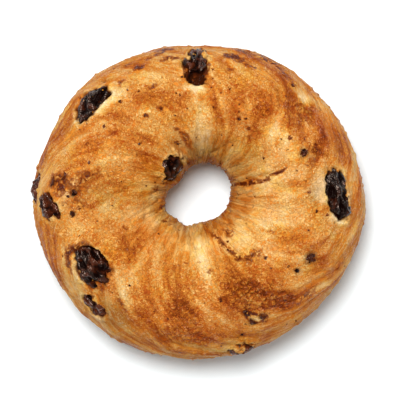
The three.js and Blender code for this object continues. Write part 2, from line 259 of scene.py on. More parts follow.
# Where the dough puffed up beside a raisin, and where it was drawn over a raisin's edge. The last value is
# how high or how far over it came, in millimetres.
PUFFED = [
    (38.4, 4.4, 6.0, 1.6, 92, 0.8), (-32.6, 28.0, 7.0, 1.5, 35, 0.8), (-6.7, 43.2, 1.8, 1.3, 30, 0.7),
    (5.6, 41.0, 2.4, 1.4, 100, 0.5), (-1.3, 35.0, 3.4, 1.3, 0, 0.5), (-40.6, -18.0, 1.6, 2.0, 0, 0.7),
    (-31.0, -17.5, 2.0, 6.0, 10, 0.5), (-36.5, -34.5, 5.0, 1.4, -50, 0.6),
]
DRAWN_OVER = [
    (47.2, 0.8, 8.5, 1.8, 97, 2.3), (-3.8, 46.9, 2.2, 2.4, 0, 1.9), (1.6, 47.4, 2.0, 2.3, 0, 2.1),
    (-35.7, -33.9, 4.5, 1.4, -45, 1.7), (-30.9, -31.0, 2.8, 1.4, -45, 1.5),
    (-37.4, -26.2, 2.4, 2.0, 40, 0.9), (-31.0, -26.6, 1.6, 2.2, 30, 0.8), (-37.2, 3.4, 2.0, 2.0, 0, 0.8),
    (-35.4, -2.0, 1.6, 3.0, 0, 0.6), (13.0, -46.5, 2.0, 1.6, 0, 1.2), (17.4, -44.8, 2.4, 1.2, 20, 0.9),
    (-12.0, 9.6, 3.8, 1.4, 98, 1.6), (-6.6, 15.9, 3.4, 1.6, -10, 2.3), (-46.4, -6.4, 1.8, 1.8, 0, 1.5),
    (-49.2, 4.2, 1.4, 1.8, 0, 1.2),
]

# Spots of painted shade that darken the crust, most of all on the upper wall of the hole that the ring
# shades
PAINTED_SHADE_SPOTS = [
    (1.5, 16.5, 10.0, 5.0, 0, 0.75), (15.0, 13.0, 6.5, 5.0, 45, 0.6), (-14.0, 6.0, 6.0, 4.0, 100, 0.3),
    (14.0, -1.0, 3.5, 6.0, 0, 0.2), (-26.5, -35.0, 8.0, 4.5, -45, 0.8), (36.4, 3.0, 6.0, 2.4, 92, 0.65),
    (-29.0, 2.5, 10.0, 5.5, -12, 0.5),
]

# How much painted shade darkens the crust all along its rim, whose side is also a duller tan, and all
# round inside its hole
RIM_SHADE_AND_TAN = 0.33
HOLE_PAINTED_SHADE = 0.13

# How thick a crumb is and how deep it lies, and how much of a speck lies in the skin
CRUMB_THICKNESS = 1.5
CRUMB_SUNK = 0.1
SPECK_SUNK_SHARE = 0.2

# What is painted on the crust's corners and read by its material
CRUST_MARKS = ("toast", "pale", "spice", "painted_shade_and_tan", "stain_and_shade", "pocket_shade", "upper", "drawn")

# How far round a raisin the ring is divided finely and its crust is drawn down, and the radius of the
# circle that runs through the middle of the ring
FINE_MARGIN = 2.2
POCKET_REACH = 1.6
RING_CORE_RADIUS = 31

# How far each raisin has dried to brown rather than to black
RAISIN_BROWN = {
    "raisin_left": 0.85, "raisin_left_edge": 1.0, "raisin_bottom_rim": 1.1, "raisin_lower_left_small": 0.9,
    "raisin_lower_left": 0.45, "raisin_top": 0.6, "raisin_hole": 0.5, "raisin_upper_left": 0.3,
    "raisin_right": 0.15,
}

# How finely a raisin is divided, how often it is rounded, and how far it swells to make up for that
RAISIN_CUTS = 6
RAISIN_ROUNDING = 8
RAISIN_SWELL = 0.3

# The table, the large lamp and the middle of the picture, in metres
TABLE_HALF_WIDTH = 3
KEY_SIZE = 0.62
KEY_PLACE = (-0.15, 0.33, 1.23)
PICTURE_MIDDLE = (0.32 * MM, 0.63 * MM)

# The step in radians over which a direction on the crust is measured
SMALL_ANGLE = 0.002


# Noise and small helpers


def places_of(vertices):
    """The places of vertices as rows of an array, in the unit that they are in."""
    return np.array([vertex.co for vertex in vertices])


def move_to(vertices, points):
    """Moves vertices to points that are given in millimetres."""
    for vertex, point in zip(vertices, points * MM):
        vertex.co = point


def smooth(low, high, value):
    """0 below low, 1 above high and a smooth rise between them."""
    part = np.clip((value - low) / (high - low), 0, 1)
    return part * part * (3 - 2 * part)


# The shuffled tables that the noise and the scattered dots are read from
NOISE_ROWS = 256
RANDOM = np.random.default_rng(11)
SHUFFLE = RANDOM.permutation(NOISE_ROWS)
GRADIENTS = RANDOM.normal(size=(NOISE_ROWS, 3))
GRADIENTS /= np.linalg.norm(GRADIENTS, axis=1)[:, None]
CELL_POINTS = RANDOM.random((NOISE_ROWS, 4))


def entry(cell, seed):
    """The row of the shuffled tables that a cell of space has."""
    row = SHUFFLE[(cell[:, 0] + seed) % NOISE_ROWS]
    row = SHUFFLE[(row + cell[:, 1]) % NOISE_ROWS]
    return SHUFFLE[(row + cell[:, 2]) % NOISE_ROWS]


def noise(points, size, seed):
    """Smooth noise from about -1 to 1, with lumps about as wide as size."""
    place = points / size + seed * 0.37
    cell = np.floor(place).astype(np.int64)
    part = place - cell
    fade = part**3 * (part * (part * 6 - 15) + 10)
    total = np.zeros(len(points))
    for corner in itertools.product((0, 1), repeat=3):
        offset = np.array(corner)
        weight = np.where(offset, fade, 1 - fade).prod(axis=1)
        total += weight * ((part - offset) * GRADIENTS[entry(cell + offset, seed)]).sum(axis=1)
    return total * 1.6


def cells(points, size, seed):
    """The distance to the nearest scattered dot, in sizes, and that dot's own random number."""
    place = points / size
    cell = np.floor(place).astype(np.int64)
    nearest = np.full(len(points), 9.0)
    number = np.zeros(len(points))
    for step in itertools.product((-1, 0, 1), repeat=3):
        other = cell + np.array(step)
        dot = CELL_POINTS[entry(other, seed)]
        distance = np.linalg.norm(other + dot[:, :3] - place, axis=1)
        closer = distance < nearest
        nearest = np.where(closer, distance, nearest)
        number = np.where(closer, dot[:, 3], number)
    return nearest, number


# The form of the ring, in millimetres


def radius_at(radii, turn):
    """A radius of an outline at any turn, from a smooth curve through its evenly spaced radii."""
    count = len(radii)
    step = np.mod(turn / (2 * np.pi), 1) * count
    before = np.floor(step).astype(int)
    part = step - before
    a, b, c, d = (np.array(radii)[(before + offset) % count] for offset in (-1, 0, 1, 2))
    straight = (c - a) * part
    curved = (2 * a - 5 * b + 4 * c - d) * part**2
    turning = (3 * b - 3 * c + d - a) * part**3
    return b + (straight + curved + turning) / 2


def section_at(slope):
    """The plain section at a slope: its share of the ring's depth, its height and the way it faces."""
    lean, rise = np.cos(slope), np.sin(slope)
    dome = HEIGHT - WIDEST_HEIGHT
    half_depth = np.where(lean > 0, 1 - CREST_SHARE, CREST_SHARE)
    from_bottom = slope + np.pi / 2
    side = np.where(lean > 0, FOOT_SHARE_AT_EDGE, FOOT_SHARE_AT_HOLE)
    flank = np.where(lean > 0, 1 - FOOT_SHARE_AT_EDGE, -FOOT_SHARE_AT_HOLE)
    climb = (np.abs(from_bottom) - FOOT_HALF_ANGLE) / (np.pi / 2 - FOOT_HALF_ANGLE) * np.pi / 2
    across = (from_bottom / FOOT_HALF_ANGLE + 1) / 2
    foot_share = FOOT_SHARE_AT_HOLE + (FOOT_SHARE_AT_EDGE - FOOT_SHARE_AT_HOLE) * across
    parts = [rise >= 0, np.abs(from_bottom) <= FOOT_HALF_ANGLE]
    share = np.select(parts, [CREST_SHARE + half_depth * lean, foot_share], side + flank * np.sin(climb))
    height = np.select(parts, [WIDEST_HEIGHT + dome * rise, 0], WIDEST_HEIGHT * (1 - np.cos(climb)))
    outward = np.select(parts, [lean / (half_depth * SECTION_DEPTH), 0], np.sign(flank) * np.sin(climb))
    upward = np.select(parts, [rise / dome, -1], -np.cos(climb))
    length = np.hypot(outward, upward)
    return share, height, outward / length, upward / length


def on_ring(turn, share, height):
    """The points at these turns, shares of the ring's depth and heights."""
    hole_radius = radius_at(HOLE_RADII, turn)
    reach = hole_radius + share * (radius_at(EDGE_RADII, turn) - hole_radius)
    x = (1 - share) * HOLE_MIDDLE[0] + reach * np.cos(turn)
    y = (1 - share) * HOLE_MIDDLE[1] + reach * np.sin(turn)
    return np.stack([x, y, np.broadcast_to(height, x.shape)], axis=1)


def to_line(places, start, end):
    """The distance from places seen from above to a straight line between two points."""
    run = np.subtract(end, start)
    along = np.clip((places - start) @ run / (run @ run), 0, 1)
    return np.linalg.norm(places - start - along[:, None] * run, axis=1)


def relief_at(points, upward):
    """How far the crust stands out, from the long waves and the pleats."""
    relief = np.zeros(len(points))
    for run, length, rise in CRUST_WAVES:
        relief += rise * np.sin(2 * np.pi * (points @ np.array(run)) / length)
    for start, end, width, depth in PLEATS:
        relief -= depth * np.exp(-((to_line(points[:, :2], start, end) / width) ** 2))
    share = SIDE_UNEVENNESS + (1 - SIDE_UNEVENNESS) * np.maximum(upward, 0)
    return relief * share * smooth(QUIET_BELOW, UNEVEN_ABOVE, points[:, 2])


def crust_at(turn, slope):
    """The form of the ring, which is that of the solid, centred over the solid's box."""
    turn, slope = np.atleast_1d(turn), np.atleast_1d(slope)
    share, height, outward, upward = section_at(slope)
    relief = relief_at(on_ring(turn, share, height), upward)
    points = on_ring(turn, share + relief * outward / SECTION_DEPTH, height + relief * upward)
    points[:, 2] = np.maximum(points[:, 2], 0)
    return points


def facing_at(turn, slope):
    """The way that the form faces, from two short steps over it."""
    step = SMALL_ANGLE
    along = crust_at(turn + step, slope) - crust_at(turn - step, slope)
    over = crust_at(turn, slope + step) - crust_at(turn, slope - step)
    facing = np.cross(along, over)
    return facing / np.maximum(np.linalg.norm(facing, axis=1), 1e-9)[:, None]


def centring():
    """The step that takes the form's middle over the middle of the dough's solid."""
    turn, slope = np.meshgrid(np.linspace(-np.pi, np.pi, 361), np.linspace(-0.5, 0.8, 14))
    form = crust_at(turn.ravel(), slope.ravel())
    form_middle = (form.min(axis=0) + form.max(axis=0)) / 2
    solid_middle = np.array((DOUGH_LOW + DOUGH_HIGH) / 2) / MM
    return np.array([*(solid_middle - form_middle)[:2], 0.0])


CENTRING = centring()


def lie_on_crust(turn, slope, swing=0, sunk=0):
    """The middle of a thing that lies on the crust and its axes: its length, its width and its way out."""
    turn, slope, swing = (np.radians([angle]) for angle in (turn, slope, swing))
    out = facing_at(turn, slope)[0]
    along = (crust_at(turn + SMALL_ANGLE, slope) - crust_at(turn - SMALL_ANGLE, slope))[0]
    along /= np.linalg.norm(along)
    across = np.cross(out, along)
    length_way = np.cos(swing) * along + np.sin(swing) * across
    width_way = np.cos(swing) * across - np.sin(swing) * along
    return (crust_at(turn, slope) + CENTRING)[0] - sunk * out, np.stack([length_way, width_way, out])


def raisin_place(name):
    """The middle of a raisin's solid, its axes (length, width, way out) and half sizes, in millimetres."""
    corners = places_of(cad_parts[name].data.vertices) / MM
    rough_middle = corners.mean(axis=0)
    axes = np.linalg.svd(corners - rough_middle, full_matrices=False)[2]
    core = np.append(rough_middle[:2] / np.linalg.norm(rough_middle[:2]) * RING_CORE_RADIUS, WIDEST_HEIGHT)
    axes[2] *= np.sign(axes[2] @ (rough_middle - core))
    axes[1] = np.cross(axes[2], axes[0])
    spread = (corners - rough_middle) @ axes.T
    low, high = spread.min(axis=0), spread.max(axis=0)
    return rough_middle + (low + high) / 2 @ axes, axes, (high - low) / 2


RAISIN_PLACES = {name: raisin_place(name) for name in RAISIN_NODES}


# Painting on the crust, seen from above


def blot(places, spot):
    """How strongly an oval spot colours each place."""
    x, y, half_length, half_width, angle, strength = spot
    turn = math.radians(angle)
    away = places - (x, y)
    along = (away @ (math.cos(turn), math.sin(turn))) / half_length
    across = (away @ (-math.sin(turn), math.cos(turn))) / half_width
    return strength * np.exp(-(along**2 + across**2))


def paint(points, spots, wander, seed):
    """The sum of a list of spots, with edges that wander as far as wander."""
    drift = [noise(points, size, seed + i) for i, size in enumerate((4.5, 4.5, 1.3, 1.3))]
    drift = np.stack([drift[0] + 0.4 * drift[2], drift[1] + 0.4 * drift[3]], axis=1)
    return sum(blot(points[:, :2] + wander * drift, spot) for spot in spots)


# The dough


def ring_angles(corners):
    """The turn and slope of each corner of the plain ring."""
    turn = np.arctan2(corners[:, 1], corners[:, 0])
    plain = np.arctan2(corners[:, 2], np.hypot(corners[:, 0], corners[:, 1]) - PLAIN_RADIUS)
    slope = plain + TOP_CROWDING * np.cos(plain)
    return turn, np.where(slope < -np.pi, slope + 2 * np.pi, slope)


def plain_ring():
    """A plain ring of quads, spun from a circle and divided once more round each raisin."""
    mesh = bmesh.new()
    bmesh.ops.create_circle(mesh, segments=SECTION_STEPS, radius=1)
    bmesh.ops.rotate(mesh, verts=mesh.verts, cent=(0, 0, 0), matrix=Matrix.Rotation(math.pi / 2, 3, "X"))
    bmesh.ops.translate(mesh, verts=mesh.verts, vec=(PLAIN_RADIUS, 0, 0))
    bmesh.ops.spin(
        mesh, geom=mesh.verts[:] + mesh.edges[:], cent=(0, 0, 0), axis=(0, 0, 1), dvec=(0, 0, 0),
        angle=2 * math.pi, steps=RING_STEPS, use_merge=True, use_duplicate=False,
    )
    bmesh.ops.remove_doubles(mesh, verts=mesh.verts, dist=1e-6)
    bmesh.ops.subdivide_edges(mesh, edges=mesh.edges, cuts=RING_CUTS, use_grid_fill=True)
    points = crust_at(*ring_angles(places_of(mesh.verts))) + CENTRING
    near = np.zeros(len(points), bool)
    for middle, axes, half in RAISIN_PLACES.values():
        near |= np.linalg.norm((points - middle) @ axes.T / (half + FINE_MARGIN), axis=1) < 1
    mesh.verts.index_update()
    fine = [edge for edge in mesh.edges if near[edge.verts[0].index] and near[edge.verts[1].index]]
    bmesh.ops.subdivide_edges(mesh, edges=fine, cuts=1, use_grid_fill=True)
    bmesh.ops.recalc_face_normals(mesh, faces=mesh.faces)
    return mesh


def skin_places(turn, slope, points):
    """Places on the skin before the dough was drawn into its uneven ring, and along its flow."""
    over = np.mod(slope + np.pi / 2, 2 * np.pi) * SKIN_TUBE
    outward = np.clip((HOLE_OVER - over) / (HOLE_OVER - EDGE_OVER), 0, 1)
    flow_turn = turn - SWIRL * outward**3 + FLOW_WANDER * noise(points, 15, 13) * outward
    skin = np.stack([SKIN_RADIUS * np.cos(turn), SKIN_RADIUS * np.sin(turn), over], axis=1)
    ends = [SKIN_RADIUS * np.cos(flow_turn), SKIN_RADIUS * np.sin(flow_turn), FLOW_STRETCH * over]
    return skin, np.stack(ends, axis=1)


def crust_detail(points, skin, flow, slope, toast, settings):
    """How far the baked skin stands out from the form, in millimetres.

    Each noise is given the size of its lumps and its seed.
    """
    lean = np.cos(slope)
    over = smooth(-0.4, 0.1, np.sin(slope))
    funnel = smooth(0.1, 0.9, -lean)
    rim = smooth(0.25, 0.9, lean)
    lumps = LUMP_HEIGHT * noise(points, 8, 1) + SMALL_LUMP_HEIGHT * noise(points, 3.8, 2)
    bands = BAND_HEIGHT * noise(flow, 5, 5) + SMALL_BAND_HEIGHT * (1 + funnel) * noise(flow, 2.4, 6)
    creases = -CREASE_DEPTH * np.exp(-((noise(flow, 5.5, 7) / 0.08) ** 2)) * (0.3 + 0.7 * funnel)
    wrinkles = 0.8 * noise(skin * (1, 1, 0.7), 2.0, 3) + 0.5 * noise(skin, 1.1, 4)
    hole_edge = smooth(0.75, 0.98, -lean)
    crags = CRAG_HEIGHT * np.maximum(noise(points, 1.7, 12) - 0.3, 0) * (rim + 0.8 * hole_edge)
    distance, number = cells(points, BLISTER_SPACING, 10)
    blisters = np.clip(1 - (distance / 0.45) ** 2, 0, 1) * (number < BLISTER_SHARE)
    distance, number = cells(points, PORE_SPACING, 11)
    pores = np.exp(-((distance / 0.12) ** 2)) * (number < PORE_SHARE)
    detail = lumps + bands + creases + settings.wrinkle_height / MM * wrinkles + crags
    detail += settings.blister_height / MM * blisters * smooth(0.35, 0.7, toast)
    detail -= settings.pore_depth / MM * pores
    return detail * over * smooth(0.2, 3.0, points[:, 2])


def press_in(points, inward, middle, axes, half):
    """Points inside an egg are pushed along inward to its far side. Gives the points and which moved."""
    place = (points - middle) @ axes.T / half
    way = inward @ axes.T / half
    a = (way * way).sum(axis=1)
    b = (place * way).sum(axis=1)
    c = (place * place).sum(axis=1) - 1
    inside = c < 0
    reach = (-b + np.sqrt(np.maximum(b * b - a * c, 0))) / a
    return points + inward * np.where(inside, reach, 0)[:, None], inside


def distance_to_raisins(points):
    """How far each point lies outside the nearest raisin's dried skin, or inside it where negative."""
    distance = np.full(len(points), 9.0)
    for name, (middle, _, half) in RAISIN_PLACES.items():
        skin = bpy.data.objects["dried_" + name].data
        tree = BVHTree.FromPolygons([v.co for v in skin.vertices], [f.vertices for f in skin.polygons])
        reach = np.linalg.norm(half) + POCKET_REACH
        for i in np.flatnonzero(np.linalg.norm(points - middle, axis=1) < reach):
            nearest, normal, _, gap = tree.find_nearest(Vector(points[i] * MM))
            side = math.copysign(1, normal.dot(Vector(points[i] * MM) - nearest))
            distance[i] = min(distance[i], side * gap / MM)
    return distance


def draw_round_raisins(points, facing, above, settings):
    """Sinks the crust into pockets round the raisins, lifts its lips and draws its skin over their edges.

    Gives the points, how far each lies outside the edge of a pocket, how much paler its skin became and
    the noise that made the edges uneven.
    """
    uneven = noise(points, 1.6, 50)
    points = points + facing * (paint(points, PUFFED, 0.4, 70) * above)[:, None]
    outside = distance_to_raisins(points)
    covered = paint(points, DRAWN_OVER, 0.4, 80) * above * np.maximum(1 + 0.6 * uneven, 0)
    gap = outside + covered + EDGE_WANDER * uneven
    patchy = smooth(-0.3, 0.5, noise(points, 4.5, 51))
    lip = np.exp(-(((gap - LIP_OUT) / LIP_WIDTH) ** 2)) * (0.3 + patchy)
    paler = LIP_PALENESS * np.exp(-(((gap - PALE_OUT) / LIP_WIDTH) ** 2)) * patchy
    sunk = settings.pocket_depth / MM * smooth(0.9, -0.3, gap) + 1.6 * np.maximum(-gap, 0)
    points += facing * (settings.lip_height / MM * lip - sunk)[:, None]
    drawn_over = smooth(0.0, 0.3, gap) * smooth(0.4, 0.0, outside)
    points += facing * (drawn_over * (1.4 * np.maximum(-outside, 0) + DRAWN_SKIN))[:, None]
    return points, gap, paler, uneven


def build_dough(settings):
    """The ring of dough: its form, its baked skin, its pockets and what is painted on it."""
    mesh = plain_ring()
    turn, slope = ring_angles(places_of(mesh.verts))
    points = crust_at(turn, slope) + CENTRING
    facing = facing_at(turn, slope)
    skin, flow = skin_places(turn, slope, points)
    above = smooth(8, 17, points[:, 2])
    toast = paint(points, TOASTED, 2.2, 20) * above
    pale = paint(points, PALE, 1.0, 30) * above
    spice = paint(points, CINNAMON, 0.5, 40) * above
    lean = np.cos(slope)
    rim = smooth(0.35, 0.9, lean) * (1 - 0.8 * smooth(0.2, 0.9, np.cos(turn)))
    # Painted shade: the crust is darkened in the spots above, along the rim, where its side is also a
    # duller tan, and inside the hole
    painted_shade_and_tan = paint(points, PAINTED_SHADE_SPOTS, 1.2, 60) + RIM_SHADE_AND_TAN * rim + HOLE_PAINTED_SHADE * smooth(0.3, 0.9, -lean)
    upper = smooth(-0.55, 0.2, np.sin(slope))
    drawn = upper * (0.3 + np.maximum(0.4 * smooth(0.3, 0.85, lean), 0.7 * smooth(0.2, 0.9, -lean)))
    points += facing * crust_detail(points, skin, flow, slope, toast, settings)[:, None]
    points, gap, paler, uneven = draw_round_raisins(points, facing, above, settings)
    pale += paler
    # Raisin juice stain round the pockets, and painted shade there
    stain_and_shade = smooth(0.9, 0.2, gap + 0.4 * noise(points, 2.4, 52))
    # Painted shade: near black in the gap where the crust meets a raisin
    pocket_shade = smooth(0.35, 0.0, gap)
    for turn_at, slope_at, length, width, *_ in CRUMBS:
        middle, _ = lie_on_crust(turn_at, slope_at)
        away = np.linalg.norm(points - middle, axis=1) / (length + width) * 4
        stain_and_shade = np.maximum(stain_and_shade, 0.75 * smooth(2.0, 0.7, away + 0.5 * uneven))
    for turn_at, slope_at, swing, half, sunk_by, _ in HOLLOWS:
        middle, axes = lie_on_crust(turn_at, slope_at, swing, sunk_by)
        half_sizes = np.array(half) * (1 + 0.08 * uneven)[:, None]
        points, inside = press_in(points, -facing, middle, axes, half_sizes)
        # The hollow is stained and darkened with painted shade
        stain_and_shade = np.maximum(stain_and_shade, inside)
        # Painted shade deep in the hollow
        pocket_shade = np.maximum(pocket_shade, 0.6 * inside)
    points[:, 2] = np.maximum(points[:, 2], 0)
    move_to(mesh.verts, points)
    bmesh.ops.recalc_face_normals(mesh, faces=mesh.faces)
    marks = dict(zip(CRUST_MARKS, (toast, pale, spice, painted_shade_and_tan, stain_and_shade, pocket_shade, upper, drawn)))
    return finish_piece("dough_crust", mesh, marks, {"flow": flow * MM})


def finish_piece(name, mesh, marks=None, places=None):
    """Turns a bmesh into a smooth piece with its painted marks, and puts it in the scene."""
    data = bpy.data.meshes.new(name)
    mesh.to_mesh(data)
    mesh.free()
    for mark, values in (marks or {}).items():
        layer = data.attributes.new(mark, "FLOAT", "POINT")
        layer.data.foreach_set("value", np.asarray(values, np.float32))
    for place, values in (places or {}).items():
        layer = data.attributes.new(place, "FLOAT_VECTOR", "POINT")
        layer.data.foreach_set("vector", np.asarray(values, np.float32).ravel())
    data.shade_smooth()
    piece = bpy.data.objects.new(name, data)
    bpy.context.scene.collection.objects.link(piece)
    return piece


# The raisins and crumbs


def build_raisin(name, settings):
    """A raisin grown from its solid: rounded first, then dried into folds and fine wrinkles."""
    middle, axes, half = RAISIN_PLACES[name]
    mesh = bmesh.new()
    mesh.from_mesh(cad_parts[name].data)
    bmesh.ops.remove_doubles(mesh, verts=mesh.verts, dist=1e-6)
    bmesh.ops.subdivide_edges(mesh, edges=mesh.edges, cuts=RAISIN_CUTS, use_grid_fill=True)
    for _ in range(RAISIN_ROUNDING):
        bmesh.ops.smooth_vert(
            mesh, verts=mesh.verts, factor=0.5, use_axis_x=True, use_axis_y=True, use_axis_z=True,
        )
    bmesh.ops.recalc_face_normals(mesh, faces=mesh.faces)
    mesh.normal_update()
    points = places_of(mesh.verts) / MM
    normals = np.array([vertex.normal for vertex in mesh.verts])
    seed = 60 + 5 * RAISIN_NODES.index(name)
    local = (points - middle) @ axes.T * (0.4, 1, 1)
    fold = np.abs(noise(local, 2.3, seed))
    crinkle = np.abs(noise(local * (1.3, 1, 1), 1.2, seed + 1))
    grain = np.abs(noise(local * (2, 1, 1), 0.7, seed + 2))
    swell = noise(local, 4, seed + 3)
    depth = settings.fold_depth / MM
    height = depth * (1.3 - 2.8 * fold - 1.3 * crinkle - 0.4 * grain + 0.7 * swell) + RAISIN_SWELL
    points = points + normals * height[:, None]
    ridge = np.clip(1 - 2.2 * fold, 0, 1)
    brown = np.full(len(points), RAISIN_BROWN[name])
    for turn_at, slope_at, swing, half, sunk_by, dented in HOLLOWS:
        if dented == name:
            middle, axes = lie_on_crust(turn_at, slope_at, swing, sunk_by)
            inward = np.tile(-axes[2], (len(points), 1))
            points, inside = press_in(points, inward, middle, axes, np.array(half))
            away = np.linalg.norm((points - middle)[:, :2] - (0, AMBER_BELOW), axis=1)
            amber = np.exp(-((away / AMBER_SIZE) ** 2))
            brown = np.where(inside, HOLLOW_BROWN + AMBER_BROWN * amber, brown)
    move_to(mesh.verts, points)
    return finish_piece("dried_" + name, mesh, {"ridge": ridge, "brown": brown})


def build_crumbs():
    """The raisin crumbs that are baked onto the crust, as one piece."""
    mesh = bmesh.new()
    browns = []
    for i, (turn, slope, length, width, curl, brown) in enumerate(CRUMBS):
        middle, axes = lie_on_crust(turn, slope, turn, CRUMB_SUNK)
        made = bmesh.ops.create_icosphere(mesh, subdivisions=4, radius=0.5)["verts"]
        browns += [brown] * len(made)
        form = places_of(made)
        rough = 0.55 * noise(form * 3.3, 1, 110 + i) + 0.4 * noise(form * 8, 1, 130 + i)
        form *= 1 + rough[:, None]
        form *= (length, width, CRUMB_THICKNESS)
        form[:, 1] += curl * (form[:, 0] ** 2 / length - length / 12)
        move_to(made, middle + form @ axes)
    corners = bpy.data.objects["dough_crust"].data.vertices
    crust = [vertex for vertex in corners if vertex.co.z > WIDEST_HEIGHT * MM]
    seen = places_of(crust)[:, :2] / MM
    for i, (place, size) in enumerate(SPECKS):
        nearest = crust[np.argmin(np.linalg.norm(seen - place, axis=1))]
        middle = np.array(nearest.co - nearest.normal * size * SPECK_SUNK_SHARE * MM) / MM
        made = bmesh.ops.create_icosphere(mesh, subdivisions=3, radius=size / 2)["verts"]
        browns += [0.8 + 0.8 * CELL_POINTS[i, 0]] * len(made)
        form = places_of(made)
        form *= 1 + 0.7 * noise(form / size * 3, 1, 170 + i)[:, None]
        swing = math.pi * CELL_POINTS[i, 1]
        long_way = np.array((math.cos(swing), math.sin(swing), 0))
        form += np.outer(form @ long_way, long_way) * 0.5 * CELL_POINTS[i, 2]
        move_to(made, middle + form)
    ridge = np.clip(0.5 + noise(places_of(mesh.verts) / MM, 0.8, 150), 0, 1)
    return finish_piece("raisin_crumbs", mesh, {"ridge": ridge, "brown": browns})


# Materials


def linear(code):
    """An sRGB hex colour as linear red, green and blue."""
    parts = [int(code[i : i + 2], 16) / 255 for i in (1, 3, 5)]
    return tuple(part / 12.92 if part <= 0.04045 else ((part + 0.055) / 1.055) ** 2.4 for part in parts)


# The sockets of a Mix node that mixes colours
COLOUR_A, COLOUR_B, COLOUR_OUT = 6, 7, 2
OPAQUE = 1.0

# A noise that is folded here, at its middle, peaks there, so its highest part is a net of thin lines
FOLD = 0.5


def add_node(material, kind, inputs=None, output=0, **settings):
    """Adds a node with its settings, links or sets its inputs, and gives one of its outputs."""
    tree = material.node_tree
    node = tree.nodes.new(kind)
    for name, value in settings.items():
        setattr(node, name, value)
    for name, value in (inputs or {}).items():
        if isinstance(value, bpy.types.NodeSocket):
            tree.links.new(value, node.inputs[name])
        else:
            node.inputs[name].default_value = value
    return node.outputs[output] if len(node.outputs) else node


def new_material(name):
    """A material with an empty node tree."""
    material = bpy.data.materials.new(name)
    material.use_nodes = True
    material.node_tree.nodes.clear()
    return material


